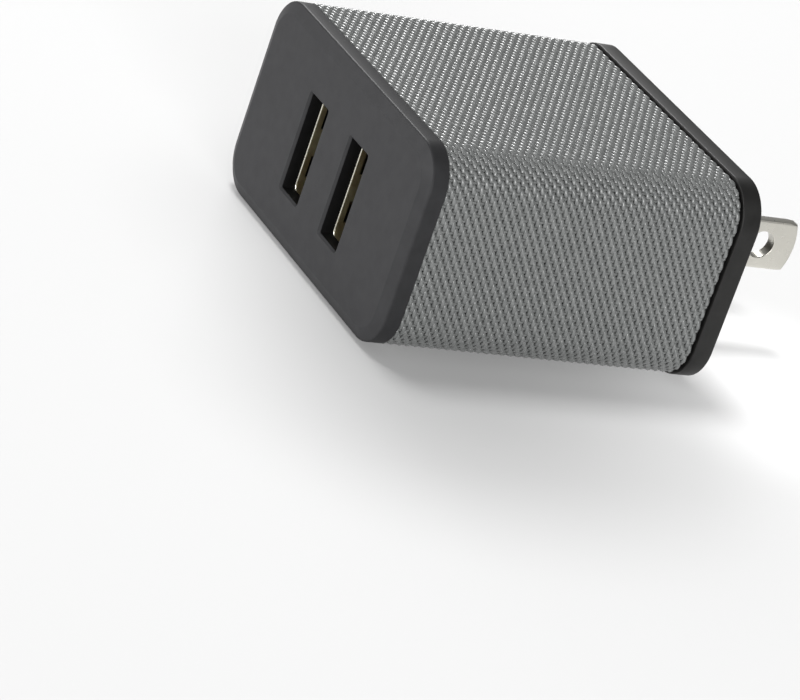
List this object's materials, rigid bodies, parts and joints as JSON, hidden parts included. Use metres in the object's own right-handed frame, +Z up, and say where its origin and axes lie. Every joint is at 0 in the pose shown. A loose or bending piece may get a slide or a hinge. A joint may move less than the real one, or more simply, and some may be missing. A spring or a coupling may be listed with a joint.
{
  "type": "usb wall charger",
  "caption": "Compact wall charger with a woven fabric sleeve, upright USB type A ports on the front and fixed flat blades on the back.",
  "frame": {"origin": "centre of the rear face, which seats on the wall outlet", "axes": "+Y out of the rear face along the blades, +Z up across the thin side, +X to the right when looking at the ports"},
  "size_m": [0.0452, 0.0621, 0.0256],
  "materials": {
    "bezel_plastic": "dark grey, fine satin grain",
    "woven_nylon": "grey two-ply nylon, plain weave",
    "housing_plastic": "black moulded",
    "cap_plastic": "black satin",
    "blade_nickel": "nickel-plated brass",
    "terminal_bronze": "plain phosphor bronze",
    "shell_steel": "nickel-plated steel sheet",
    "port_plastic": "black nylon",
    "contact_gold": "gold flash on bronze",
    "tinned_lead": "tinned",
    "board_green": "solder mask",
    "ferrite": "sintered, dull",
    "bobbin_plastic": "black phenolic",
    "copper_wire": "enamelled copper",
    "tape_yellow": "polyester tape",
    "can_sleeve": "shrunk sleeve on an aluminium can",
    "fuse_body": "brown moulded",
    "disc_blue": "epoxy-dipped ceramic",
    "chip_black": "black epoxy",
    "chip_ceramic": "glazed ceramic",
    "insulator_film": "milky polyester film"
  },
  "bodies": {
    "charger": {"front_bezel": "bezel_plastic", "fabric_sleeve": "woven_nylon", "inner_housing": "housing_plastic", "rear_cap": "cap_plastic", "blade_left": "blade_nickel", "blade_right": "blade_nickel", "blade_carrier": "housing_plastic", "blade_terminals": "terminal_bronze", "usb_shell_left": "shell_steel", "usb_shell_right": "shell_steel", "usb_insulator_left": "port_plastic", "usb_insulator_right": "port_plastic", "usb_pins_left": "contact_gold", "usb_pins_right": "contact_gold", "port_board": "board_green", "main_board": "board_green", "board_link_pins": "tinned_lead", "board_link_header": "chip_black", "transformer_cores": "ferrite", "transformer_bobbin": "bobbin_plastic", "transformer_winding": "copper_wire", "transformer_tape": "tape_yellow", "transformer_pins": "tinned_lead", "bulk_capacitors": "can_sleeve", "output_capacitors": "can_sleeve", "capacitor_leads": "tinned_lead", "fuse": "fuse_body", "input_choke": "ferrite", "choke_winding": "copper_wire", "safety_capacitor": "disc_blue", "small_part_leads": "tinned_lead", "bridge_rectifier": "chip_black", "power_chip": "chip_black", "output_rectifier": "chip_black", "charge_chip": "chip_black", "chip_resistors": "chip_ceramic", "insulation_sheet": "insulator_film"},
    "left_port_contacts": {"usb_contacts_left": "contact_gold"},
    "right_port_contacts": {"usb_contacts_right": "contact_gold"}
  },
  "joints": [
    {"name": "left_port_contact_flex", "type": "hinge", "parent": "charger", "child": "left_port_contacts", "pos_m": [-0.00554, -0.03132, -0.00057], "axis": [0, 0, 1], "range_deg": [0, 3.5], "stiffness_Nm_per_rad": 0.05},
    {"name": "right_port_contact_flex", "type": "hinge", "parent": "charger", "child": "right_port_contacts", "pos_m": [0.00598, -0.03132, -0.00057], "axis": [0, 0, 1], "range_deg": [0, 3.5], "stiffness_Nm_per_rad": 0.05}
  ]
}
